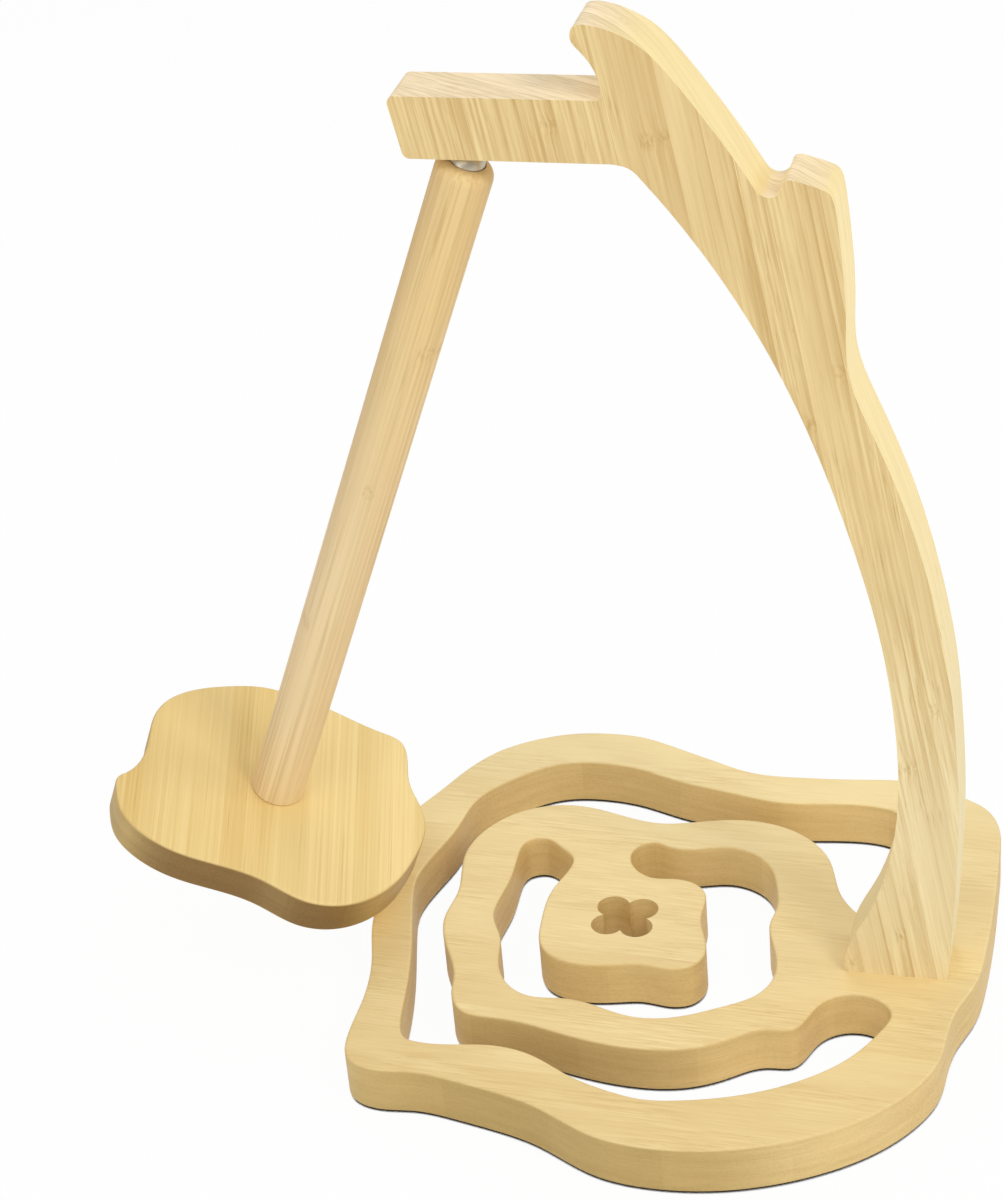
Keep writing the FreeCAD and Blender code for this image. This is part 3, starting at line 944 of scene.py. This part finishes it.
@dataclass
class Studio:
    """The floor, the light and the camera, which are no part of the object.

    The gap's marks say from where to where, in open sky over the floor, the dark line under the base ends,
    which is a painted shadow in the floor's glow.
    """

    camera_place: Triple = (0.18245, -0.67901, 0.57074)
    camera_right: Triple = (0.96641536, 0.24481012, -0.07816238)
    camera_down: Triple = (0.06416225, -0.52437548, -0.84906629)
    camera_forward: Triple = (-0.24884645, 0.81553563, -0.52247209)
    focal_pixels: float = 2996.78
    sensor: float = 36.0
    view_reach: Pair = (0.01, 20.0)
    floor_reach: float = 4.0
    floor_white: float = 0.9
    floor_glow: float = 0.96
    gap_shadow_reach: float = 1.3 * MILLIMETRE
    gap_shadow_marks: Pair = (0.55, 0.66)
    gap_samples: int = 16
    gap_shadow_brown: Triple = (0.020, 0.014, 0.009)
    sky: float = 0.55
    middle: Triple = (0.0, 0.0, 0.12)
    lamps: tuple[Lamp, ...] = (
        Lamp("key", place=(0.7, -0.45, 1.0), size=0.3, share=0.24),
        Lamp("side", place=(1.2, 0.1, 0.6), size=0.6, share=0.15),
        Lamp("front", place=(-0.1, -0.9, 0.95), size=0.8, share=0.15),
        Lamp("low", place=(-0.7, -1.1, 0.35), size=0.7, share=0.1),
        Lamp("back", place=(-0.25, 0.55, 0.6), size=0.5, share=0.19),
    )

    def build_camera(self) -> None:
        """Sets the camera at the photographed angle."""
        lens = bpy.data.cameras.new("camera")
        lens.sensor_width = self.sensor
        lens.lens = self.sensor * self.focal_pixels / max(FRAME_WIDTH, FRAME_HEIGHT)
        lens.clip_start, lens.clip_end = self.view_reach
        camera = bpy.data.objects.new("camera", lens)
        bpy.context.scene.collection.objects.link(camera)
        up = -Vector(self.camera_down)
        back = -Vector(self.camera_forward)
        turn = Matrix((Vector(self.camera_right), up, back)).transposed()
        camera.matrix_world = Matrix.LocRotScale(Vector(self.camera_place), turn.to_quaternion(), None)
        bpy.context.scene.camera = camera

    def build_floor(self) -> None:
        """Makes the plain white floor, which keeps a faint shadow, and whose glow is darkened into a painted
        shadow, the dark line under the base.
        """
        reach = self.floor_reach
        corners = [(-reach, -reach, 0), (reach, -reach, 0), (reach, reach, 0), (-reach, reach, 0)]
        mesh = bpy.data.meshes.new("floor")
        mesh.from_pydata(corners, [], [(0, 1, 2, 3)])
        floor = bpy.data.objects.new("floor", mesh)
        bpy.context.scene.collection.objects.link(floor)
        made = bpy.data.materials.new("floor_paper")
        made.use_nodes = True
        mesh.materials.append(made)
        graph = Graph(made.node_tree)
        white = (self.floor_white,) * 3
        paper = graph.add("ShaderNodeBsdfDiffuse", {"Color": white})
        # Painted shadow: ambient occlusion darkens the floor's glow to a dark brown line under the base's
        # edges
        gap = graph.add("ShaderNodeAmbientOcclusion", {"Distance": self.gap_shadow_reach}, samples=self.gap_samples)
        shade = graph.mix(graph.ramp(gap.outputs["AO"], *self.gap_shadow_marks), self.gap_shadow_brown, WHITE)
        glow = graph.add("ShaderNodeEmission", {"Color": shade})
        rays = graph.add("ShaderNodeLightPath").outputs
        seen = graph.number("MAXIMUM", rays["Is Camera Ray"], rays["Is Glossy Ray"])
        seen = graph.number("MAXIMUM", seen, rays["Is Transmission Ray"])
        share = graph.number("MULTIPLY", seen, self.floor_glow)
        surface = graph.add("ShaderNodeMixShader", {0: share, 1: paper.outputs[0], 2: glow.outputs[0]})
        graph.add("ShaderNodeOutputMaterial", {"Surface": surface.outputs[0]})

    def build_sky(self) -> None:
        """Lights the scene evenly from all sides, with white behind the object."""
        world = bpy.data.worlds.new("studio")
        bpy.context.scene.world = world
        world.use_nodes = True
        graph = Graph(world.node_tree)
        rays = graph.add("ShaderNodeLightPath").outputs
        seen = graph.number("MAXIMUM", rays["Is Camera Ray"], rays["Is Transmission Ray"])
        strength = graph.add(
            "ShaderNodeMapRange", {"Value": seen, "To Min": self.sky, "To Max": 1.0}
        ).outputs["Result"]
        light = graph.add("ShaderNodeBackground", {"Color": WHITE, "Strength": strength})
        graph.add("ShaderNodeOutputWorld", {"Surface": light.outputs[0]})

    def build(self) -> None:
        """Builds the whole studio."""
        self.build_camera()
        self.build_floor()
        self.build_sky()
        for lamp in self.lamps:
            lamp.hang(self.middle)
        bpy.context.scene.view_settings.view_transform = "Standard"


def build_finishes(spindle: Spindle) -> dict[str, Material]:
    """Builds each finish.

    Args:
        spindle: The spindle, whose grain follows its swung place.

    Returns:
        The materials by the name of the record's slot.
    """
    grain = Grain().build()
    cut = SawnEdges().build()
    turn = spindle.turn()
    ahead = Vector((1, 0, 0))
    back = Vector((0, 1, 0))
    up = Vector((0, 0, 1))
    bamboo = [
        BambooFinish(
            "base_bamboo",
            # The edge colour is partly the sawn wood's own and partly painted shade, which makes the walls
            # darker than the top
            pale=linear(250, 227, 168), dark=linear(222, 190, 126), edge=linear(240, 211, 148),
            end=linear(232, 201, 138), fibre_axis=Vector((1.0, -0.03, 0.0)), layer_axis=back, face_axis=up,
            fineness=(60.0, 1300.0, 300.0), strip_width=0.018, strip_contrast=0.2, fibre_contrast=0.34,
            # Painted light: the slope makes the base's top paler towards the back
            pore_contrast=0.3, light_and_tone_slope=(0.0, -2.4, 0.0), knuckle_spacing=9.0, joint_spacing=0.034,
            # Painted shade darkens the walls at the front of the rim
            layer_height=0.0093, painted_shade_place=(-0.01, -0.125, 0.01), painted_shade_reach=0.085, seed=3.0,
        ),
        BambooFinish(
            "arm_bamboo",
            pale=linear(244, 219, 160), dark=linear(206, 171, 108), edge=linear(252, 230, 170),
            # The end colour is partly the end grain's own pinkish tone and partly painted light, which makes
            # the tops of the beam and the thorn paler
            end=linear(253, 231, 190), fibre_axis=Vector((0.17, 0.0, -0.985)),
            layer_axis=Vector((-0.446, -0.863, -0.110)), face_axis=back,
            fineness=(32.0, 2400.0, 120.0), origin=Vector((0.0, 0.0, 0.15)),
            strip_width=0.0021, strip_contrast=0.22, strip_shade=0.18, glue_line=0.16,
            # Painted light: the slope makes the arm a little paler towards its foot
            fibre_contrast=0.42, pore_contrast=0.35, knuckle_spacing=0.26, light_and_tone_slope=(-0.2, 0.0, 0.0),
            # Painted light: this stretch makes the arm paler towards its foot
            light_and_tone_stretch=(-0.02, 0.10, 1.0), edge_light_and_tone_paler=(0.91, 0.93, 1.0),
            edge_grain=1.0, edge_depth=0.5, end_depth=1.3, seed=11.0,
        ),
        BambooFinish(
            "plate_bamboo",
            pale=linear(249, 223, 156), dark=linear(220, 182, 104), edge=linear(203, 173, 112),
            # The end colour is partly the end grain's own and partly painted shade, which darkens the plate's
            # front and back sides
            end=linear(144, 111, 58), fibre_axis=turn @ Vector((-0.26, 0.966, 0)), layer_axis=turn @ ahead,
            face_axis=turn @ up, fineness=(6.0, 1300.0, 300.0), origin=spindle.pivot(), strip_width=0.007,
            strip_contrast=0.28, fibre_contrast=0.28, pore_contrast=0.4, knuckle_spacing=9.0,
            # The slope makes the plate darker towards its left and paler towards its right
            light_and_tone_slope=(0.0, -4.0, 0.0), seed=5.0,
        ),
        BambooFinish(
            "rod_wood",
            pale=linear(240, 210, 151), dark=linear(211, 173, 112), edge=linear(238, 207, 147),
            end=linear(220, 190, 134), fibre_axis=turn @ up, layer_axis=turn @ ahead, face_axis=turn @ ahead,
            fineness=(9.0, 900.0, 900.0), origin=spindle.pivot(), strip_width=0.004, strip_contrast=0.1,
            # The rod is made paler towards its lower end
            fibre_contrast=0.42, knuckle_spacing=0.4, light_and_tone_stretch=(-0.02, -0.15, 1.0),
            light_and_tone_paler=(1.06, 1.13, 1.38), edge_light_and_tone_paler=(1.06, 1.13, 1.38), edge_grain=1.0, seed=7.0,
        ),
    ]
    metal = [
        # The ball's warm tint is painted reflection of the bamboo around it
        MetalFinish("ball_steel", linear(200, 188, 164), 0.3),
        MetalFinish("magnet_nickel", linear(200, 198, 194), 0.14),
        MetalFinish("screw_steel", linear(190, 190, 192), 0.28),
        MetalFinish("insert_brass", linear(214, 178, 104), 0.3),
    ]
    finishes = {finish.name: finish.material(grain, cut) for finish in bamboo}
    finishes |= {finish.name: finish.material() for finish in metal}
    rubber = RubberFinish("pad_rubber", linear(52, 50, 48))
    finishes[rubber.name] = rubber.material()
    return finishes


def main() -> None:
    """Builds the finishes, the stand, the spindle and the studio in order."""
    logging.basicConfig(level=logging.INFO, format="%(name)s: %(message)s")
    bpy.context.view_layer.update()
    spindle = Spindle()
    finishes = build_finishes(spindle)
    Stand().build(finishes)
    spindle.build(finishes)
    Studio().build()


if __name__ == "__main__":
    main()
